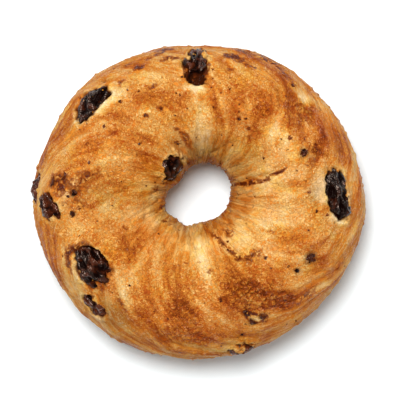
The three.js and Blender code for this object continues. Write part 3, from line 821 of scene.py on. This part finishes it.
def crust_material(settings):
    """Baked bread crust: a boiled and baked wheat skin under a thin amber glaze.

    The skin is golden and toasts to brown where it swelled towards the heat, so its colour follows how far
    it was baked. It is drawn into fine wrinkles, felted on the crest and straight where the dough was
    stretched, whose lines are painted paler as painted glints, and the glaze shines on them, so they also
    catch the light as small glints. The finest wrinkles of a real crust are narrower than a pixel of the
    picture, so they are drawn as wide as it can show.
    """
    material = new_material("baked_bread_crust")
    add = partial(add_node, material)
    toast, pale, spice, painted_shade_and_tan, stain_and_shade, pocket_shade, upper, drawn_share = (
        add("ShaderNodeAttribute", output="Fac", attribute_name=name) for name in CRUST_MARKS
    )
    flow = add("ShaderNodeAttribute", output="Vector", attribute_name="flow")
    place = add("ShaderNodeTexCoord", output="Object")

    # The noises of the skin: what each follows, its size in millimetres, its detail and its distortion
    felted, drawn, fine, tone, cloud, rosy, amber, line, sparse, broken = (
        add(
            "ShaderNodeTexNoise",
            {
                "Vector": run, "Scale": 1 / (size * MM), "Detail": detail, "Roughness": 0.6,
                "Distortion": bend,
            },
        )
        for run, size, detail, bend in (
            (place, 0.95, 1.0, 1.2), (flow, 1.3, 2.5, 0.35), (place, 0.33, 1.0, 0.0),
            (flow, 4.6, 2.0, 0.5), (place, 8.0, 3.0, 0.3), (place, 11.0, 2.0, 0.5),
            (place, 7.0, 3.0, 0.8), (flow, 3.2, 2.0, 0.4), (place, 6.0, 2.0, 0.0), (place, 1.7, 3.0, 0.6),
        )
    )
    grain = add("ShaderNodeMix", {0: drawn_share, 2: felted, 3: drawn})
    folded, line = (
        add("ShaderNodeMath", {0: value, 1: FOLD}, operation="PINGPONG") for value in (grain, line)
    )

    # Blisters and specks are cells whose places wobble by up to 1.3 mm, so they aren't round
    wobble = add(
        "ShaderNodeVectorMath", {0: felted.node.outputs["Color"], 1: [1.3 * MM] * 3, 2: place},
        operation="MULTIPLY_ADD",
    )
    dome, speck = (
        add("ShaderNodeTexVoronoi", {"Vector": wobble, "Scale": 1 / (size * MM)}) for size in (1.3, 2.6)
    )
    chance = add("ShaderNodeSeparateColor", {0: speck.node.outputs["Color"]})

    # Where each of them counts: the two limits that a value is read between and what it is at each
    wrinkle_and_glint, line, sparse, broken, rosy, amber, blistered, even, dome, speck_size = (
        add(
            "ShaderNodeMapRange",
            {"Value": value, "From Min": low, "From Max": high, "To Min": at_low, "To Max": at_high},
        )
        for value, low, high, at_low, at_high in (
            (folded, 0.44, 0.5, 0.0, 1.0), (line, 0.48, 0.5, 0.0, 1.0), (sparse, 0.5, 0.62, 0.0, 1.0),
            (broken, 0.38, 0.62, 0.2, 1.3), (rosy, 0.42, 0.6, 0.0, 0.7), (amber, 0.5, 0.62, 0.0, 0.7),
            (toast, 0.35, 0.8, 0.0, 1.0), (drawn_share, 0.3, 1.0, 1.0, 0.35), (dome, 0.2, 0.65, -0.5, 1.0),
            (chance, 0.66, 1.0, 0.0, 0.17),
        )
    )

    # How far the skin is baked, from pale at 0 to dark at 1. Its grain shows least where it was drawn out,
    # and its wrinkle lines are painted paler as painted glints.
    dome = add("ShaderNodeMath", {0: dome, 1: blistered}, operation="MULTIPLY")
    mottle_and_glints = add("ShaderNodeMath", {0: wrinkle_and_glint, 1: -0.45, 2: grain}, operation="MULTIPLY_ADD")
    mottle_and_glints = add("ShaderNodeMath", {0: mottle_and_glints, 1: 0.374}, operation="SUBTRACT")
    mottle_and_glints = add("ShaderNodeMath", {0: mottle_and_glints, 1: even}, operation="MULTIPLY")
    tone = add("ShaderNodeMix", {0: upper, 2: cloud, 3: tone})
    bake = add("ShaderNodeMath", {0: tone, 1: 0.9, 2: -0.332}, operation="MULTIPLY_ADD")
    for share, weight in (
        (cloud, 0.55), (toast, 0.36), (pale, -0.55), (mottle_and_glints, 0.6), (fine, 0.2), (dome, 0.2),
    ):
        bake = add("ShaderNodeMath", {0: share, 1: weight, 2: bake}, operation="MULTIPLY_ADD")
    coloured = add("ShaderNodeValToRGB", {"Fac": bake})
    stops = coloured.node.color_ramp.elements
    stops[0].color = (*settings.pale_colour, OPAQUE)
    stops[1].color = (*settings.dark_colour, OPAQUE)
    for position, colour in (
        (0.3, settings.honey_colour), (0.52, settings.golden_colour), (0.76, settings.toasted_colour),
    ):
        stops.new(position).color = (*colour, OPAQUE)

    # Cinnamon: in the painted places, as thin lines along the flow and as specks all over
    speck_size = add("ShaderNodeMath", {0: fine, 1: 0.3, 2: speck_size}, operation="MULTIPLY_ADD")
    speck = add("ShaderNodeMath", {0: speck_size, 1: speck}, operation="SUBTRACT")
    speck = add("ShaderNodeMapRange", {"Value": speck, "From Min": 0.09, "From Max": 0.2})
    line = add("ShaderNodeMath", {0: line, 1: sparse}, operation="MULTIPLY")
    spice = add("ShaderNodeMath", {0: line, 1: 0.13, 2: spice}, operation="MULTIPLY_ADD")
    spice = add("ShaderNodeMath", {0: broken, 1: spice}, operation="MULTIPLY")
    light_spice = add(
        "ShaderNodeMapRange", {"Value": spice, "From Min": 0.14, "From Max": 0.34, "To Max": 0.8},
    )
    spice = add("ShaderNodeMapRange", {"Value": spice, "From Min": 0.32, "From Max": 0.8})
    spice = add("ShaderNodeMath", {0: spice, 1: speck}, operation="MAXIMUM")

    # What tints the baked skin, the painted shade first, and then what covers it: cinnamon, raisin juice
    # stain with painted shade, and the painted shade of the pockets
    for share, colour, blend in (
        (painted_shade_and_tan, settings.shade_and_tan_tint, "MULTIPLY"), (rosy, settings.rosy_tint, "MULTIPLY"),
        (amber, settings.amber_tint, "MULTIPLY"), (light_spice, settings.spiced_colour, "MIX"),
        (spice, settings.cinnamon_colour, "MIX"), (stain_and_shade, settings.stain_and_shade_colour, "MIX"),
        (pocket_shade, settings.pocket_shade_colour, "MIX"),
    ):
        coloured = add(
            "ShaderNodeMix", {0: share, COLOUR_A: coloured, COLOUR_B: (*colour, OPAQUE)},
            output=COLOUR_OUT, data_type="RGBA", blend_type=blend,
        )

    # The relief that is finer than the mesh, and the glaze, which lies on the wrinkles in patches
    height = grain
    for share, weight in ((wrinkle_and_glint, 0.3), (dome, -0.7), (fine, 0.4)):
        height = add("ShaderNodeMath", {0: share, 1: weight, 2: height}, operation="MULTIPLY_ADD")
    relief = add("ShaderNodeBump", {"Height": height, "Distance": settings.grain_height})
    dullest, smoothest = settings.roughness + 0.15, settings.roughness - 0.14
    dull = add("ShaderNodeMapRange", {"Value": wrinkle_and_glint, "To Min": dullest, "To Max": smoothest})
    glazed = add("ShaderNodeMath", {0: wrinkle_and_glint, 1: broken}, operation="MULTIPLY")
    gloss = add("ShaderNodeMapRange", {"Value": glazed, "From Min": 0.5, "From Max": 1.0, "To Min": 0.05})
    gloss = add("ShaderNodeMath", {0: gloss, 1: even}, operation="MULTIPLY")
    shader = add(
        "ShaderNodeBsdfPrincipled",
        {
            "Base Color": coloured, "Roughness": dull, "IOR": 1.45, "Specular IOR Level": gloss,
            "Normal": relief,
        },
    )
    add("ShaderNodeOutputMaterial", {"Surface": shader})
    return material


def raisin_material(settings):
    """Dried grape skin: nearly black, drawn into folds, and shiny where syrup has dried on its ridges.

    Light comes through it as brown where it is thin, the flesh of an opened raisin is amber, and a few
    golden crumbs of sugar lie on it.
    """
    material = new_material("dried_grape_skin")
    add = partial(add_node, material)
    ridge, brown = (
        add("ShaderNodeAttribute", output="Fac", attribute_name=name) for name in ("ridge", "brown")
    )
    place = add("ShaderNodeTexCoord", output="Object")
    cloud, grain = (
        add("ShaderNodeTexNoise", {"Vector": place, "Scale": 1 / (size * MM), "Detail": detail})
        for size, detail in ((2.2, 3.0), (0.5, 2.0))
    )
    thin = cloud
    for share, weight in ((brown, 0.35), (ridge, 0.12)):
        thin = add("ShaderNodeMath", {0: share, 1: weight, 2: thin}, operation="MULTIPLY_ADD")
    thin = add("ShaderNodeMapRange", {"Value": thin, "From Min": 0.68, "From Max": 0.98})
    flesh = add("ShaderNodeMapRange", {"Value": brown, "From Min": 1.2, "From Max": 2.2})
    sugar = add("ShaderNodeTexVoronoi", {"Vector": place, "Scale": 1 / (1.5 * MM)})
    chance = add("ShaderNodeSeparateColor", {0: sugar.node.outputs["Color"]})
    sugar_size = add("ShaderNodeMapRange", {"Value": chance, "From Min": 0.82, "To Max": 0.3})
    sugar = add("ShaderNodeMath", {0: sugar_size, 1: sugar}, operation="SUBTRACT")
    sugar = add("ShaderNodeMapRange", {"Value": sugar, "From Max": 0.06})
    coloured = (*settings.skin_colour, OPAQUE)
    layers = ((thin, settings.thin_colour), (flesh, settings.flesh_colour), (sugar, settings.sugar_colour))
    for share, colour in layers:
        coloured = add(
            "ShaderNodeMix", {0: share, COLOUR_A: coloured, COLOUR_B: (*colour, OPAQUE)},
            output=COLOUR_OUT, data_type="RGBA",
        )
    relief = add("ShaderNodeBump", {"Height": grain, "Distance": settings.grain_height})
    gloss = add(
        "ShaderNodeMapRange",
        {"Value": ridge, "From Min": 0.25, "From Max": 0.75, "To Min": 0.03, "To Max": 0.55},
    )
    shader = add(
        "ShaderNodeBsdfPrincipled",
        {
            "Base Color": coloured, "Roughness": settings.roughness, "IOR": 1.48,
            "Specular IOR Level": gloss, "Specular Tint": (*settings.gloss_tint, OPAQUE), "Normal": relief,
        },
    )
    add("ShaderNodeOutputMaterial", {"Surface": shader})
    return material


def table_material(settings):
    """White laminate, matt and plain, which gives the eye nothing but the bagel's shadow."""
    material = new_material("white_laminate")
    shader = add_node(
        material, "ShaderNodeBsdfPrincipled",
        {"Base Color": (*settings.table_colour, OPAQUE), "Roughness": 0.8, "Specular IOR Level": 0.1},
    )
    add_node(material, "ShaderNodeOutputMaterial", {"Surface": shader})
    return material


# Settings that a user would change


def length_setting(name, description, millimetres):
    """A length, given in millimetres."""
    return bpy.props.FloatProperty(
        name=name, description=description, default=millimetres * MM, unit="LENGTH", precision=5,
    )


def colour_setting(name, description, code):
    """A colour, given as an sRGB hex colour."""
    return bpy.props.FloatVectorProperty(
        name=name, description=description, default=linear(code), subtype="COLOR", size=3,
    )


class CrustSettings(bpy.types.PropertyGroup):
    wrinkle_height: length_setting("Wrinkle Height", "How high the fine wrinkles of the skin stand", 0.12)
    blister_height: length_setting("Blister Height", "How high the blisters of toasted skin stand", 0.22)
    pore_depth: length_setting("Pore Depth", "How deep the pores of the skin are", 0.35)
    pocket_depth: length_setting("Pocket Depth", "How deep the crust is drawn down round a raisin", 0.9)
    lip_height: length_setting("Lip Height", "How high the dough is drawn up round the raisins", 0.4)
    grain_height: length_setting("Grain Height", "How high the finest grain of the skin stands", 0.6)
    roughness: bpy.props.FloatProperty(
        name="Roughness", description="How dull the skin is between its hollows and its glazed wrinkles",
        default=0.32, subtype="FACTOR", min=0, max=1,
    )
    pale_colour: colour_setting("Pale", "Skin that was stretched and stayed pale", "#F8DAA4")
    honey_colour: colour_setting("Honey", "Lightly baked skin", "#E4B468")
    golden_colour: colour_setting("Golden", "Skin baked to gold", "#D0822E")
    toasted_colour: colour_setting("Toasted", "Skin that toasted brown", "#A04C14")
    dark_colour: colour_setting("Dark", "The darkest toasted skin", "#682A08")
    # Painted shade: what shaded skin, and the duller tan of the rim's side, take from the colour
    shade_and_tan_tint: colour_setting("Dusk", "What dull skin takes from the colour", "#C2BBAE")
    rosy_tint: colour_setting("Rosy", "What the redder patches of skin take from the colour", "#F8E4DC")
    amber_tint: colour_setting("Amber", "What the glazed yellow patches take from the colour", "#FFF8C6")
    spiced_colour: colour_setting("Spiced", "Skin with a little cinnamon in it", "#96460E")
    cinnamon_colour: colour_setting("Cinnamon", "Cinnamon in and on the skin", "#5A2208")
    # Raisin juice stain, with painted shade round the pockets and in the hollows
    stain_and_shade_colour: colour_setting("Stain", "Dough stained by raisin juice", "#5A2406")
    # Painted shade: the near black of the gaps round the raisins and of the hollows
    pocket_shade_colour: colour_setting("Pocket", "The sticky inside of a pocket", "#200C05")


class RaisinSettings(bpy.types.PropertyGroup):
    fold_depth: length_setting("Fold Depth", "How deep the folds of the dried skin are", 0.6)
    grain_height: length_setting("Grain Height", "How high the finest grain of the skin stands", 0.2)
    roughness: bpy.props.FloatProperty(
        name="Roughness", description="How dull the dried skin is",
        default=0.16, subtype="FACTOR", min=0, max=1,
    )
    skin_colour: colour_setting("Skin", "The dried skin", "#0E0403")
    thin_colour: colour_setting("Thin Skin", "Ridges where light comes through the skin", "#4E200C")
    gloss_tint: colour_setting("Gloss", "What dried syrup tints the skin's reflections with", "#FFE0CC")
    flesh_colour: colour_setting("Flesh", "The amber flesh of an opened raisin", "#9A4A14")
    sugar_colour: colour_setting("Sugar", "Golden crumbs of dried sugar on the skin", "#C07A20")


class StageSettings(bpy.types.PropertyGroup):
    table_colour: colour_setting("Table", "The colour of the table", "#F3FAFC")
    picture_width: length_setting(
        "Picture Width", "The width that the picture takes in at the widest part of the ring", 126.5
    )
    camera_height: bpy.props.FloatProperty(
        name="Camera Height", description="The camera's height over the widest part of the ring",
        default=1.25, unit="LENGTH",
    )
    key_power: bpy.props.FloatProperty(
        name="Key Power", description="The power of the large lamp", default=20.7, unit="POWER",
    )
    sky_strength: bpy.props.FloatProperty(
        name="Sky Strength", description="The strength of the soft light from all round", default=0.42,
    )


class BAGEL_OT_dough(bpy.types.Operator):
    """Build the baked ring of dough over its solid"""

    bl_idname = "bagel.dough"
    bl_label = "Dough"

    def execute(self, context):
        settings = context.scene.bagel_crust
        piece = build_dough(settings)
        piece.data.materials.append(crust_material(settings))
        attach(piece, "root")
        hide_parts("dough")
        return {"FINISHED"}


class BAGEL_OT_raisins(bpy.types.Operator):
    """Grow each raisin from its solid"""

    bl_idname = "bagel.raisins"
    bl_label = "Raisins"

    def execute(self, context):
        settings = context.scene.bagel_raisins
        material = raisin_material(settings)
        for name in RAISIN_NODES:
            piece = build_raisin(name, settings)
            piece.data.materials.append(material)
            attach(piece, "root")
            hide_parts(name)
        return {"FINISHED"}


class BAGEL_OT_crumbs(bpy.types.Operator):
    """Bake the raisin crumbs onto the crust"""

    bl_idname = "bagel.crumbs"
    bl_label = "Crumbs"

    def execute(self, context):
        piece = build_crumbs()
        piece.data.materials.append(bpy.data.materials["dried_grape_skin"])
        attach(piece, "root")
        return {"FINISHED"}


class BAGEL_OT_stage(bpy.types.Operator):
    """Lay the table and set the lamps and the camera"""

    bl_idname = "bagel.stage"
    bl_label = "Table, Lamps and Camera"

    def execute(self, context):
        settings = context.scene.bagel_stage
        scene = context.scene
        mesh = bmesh.new()
        bmesh.ops.create_grid(mesh, x_segments=1, y_segments=1, size=TABLE_HALF_WIDTH)
        table = finish_piece("table_top", mesh)
        table.data.materials.append(table_material(settings))

        lamp = bpy.data.lights.new("large_lamp", "AREA")
        lamp.shape = "DISK"
        lamp.size = KEY_SIZE
        lamp.energy = settings.key_power
        key = bpy.data.objects.new("large_lamp", lamp)
        key.location = KEY_PLACE
        key.rotation_euler = (Vector((0, 0, 0)) - Vector(KEY_PLACE)).to_track_quat("-Z", "Y").to_euler()
        scene.collection.objects.link(key)

        world = bpy.data.worlds.new("white_room")
        world.use_nodes = True
        world.node_tree.nodes["Background"].inputs["Color"].default_value = (1, 1, 1, OPAQUE)
        world.node_tree.nodes["Background"].inputs["Strength"].default_value = settings.sky_strength
        scene.world = world
        scene.view_settings.view_transform = "Standard"

        lens = bpy.data.cameras.new("camera")
        lens.lens = lens.sensor_width * settings.camera_height / settings.picture_width
        lens.clip_end = 100
        camera = bpy.data.objects.new("camera", lens)
        camera.location = (*PICTURE_MIDDLE, WIDEST_HEIGHT * MM + settings.camera_height)
        scene.collection.objects.link(camera)
        scene.camera = camera
        return {"FINISHED"}


class BAGEL_PT_sidebar(bpy.types.Panel):
    bl_label = "Bagel"
    bl_idname = "BAGEL_PT_sidebar"
    bl_space_type = "VIEW_3D"
    bl_region_type = "UI"
    bl_category = "Bagel"

    def draw(self, context):
        for operator in OPERATORS:
            self.layout.operator(operator.bl_idname)
        for name in SETTINGS:
            group = getattr(context.scene, name)
            box = self.layout.box()
            for field in group.bl_rna.properties:
                if not field.is_readonly and field.identifier != "name":
                    box.prop(group, field.identifier)


OPERATORS = (BAGEL_OT_raisins, BAGEL_OT_dough, BAGEL_OT_crumbs, BAGEL_OT_stage)
SETTINGS = {"bagel_crust": CrustSettings, "bagel_raisins": RaisinSettings, "bagel_stage": StageSettings}


def register():
    for kind in (*SETTINGS.values(), *OPERATORS, BAGEL_PT_sidebar):
        bpy.utils.register_class(kind)
    for name, kind in SETTINGS.items():
        setattr(bpy.types.Scene, name, bpy.props.PointerProperty(type=kind))


def unregister():
    for name in SETTINGS:
        delattr(bpy.types.Scene, name)
    for kind in (BAGEL_PT_sidebar, *OPERATORS, *SETTINGS.values()):
        bpy.utils.unregister_class(kind)


def main():
    register()
    bpy.ops.bagel.raisins()
    bpy.ops.bagel.dough()
    bpy.ops.bagel.crumbs()
    bpy.ops.bagel.stage()


if __name__ == "__main__":
    main()
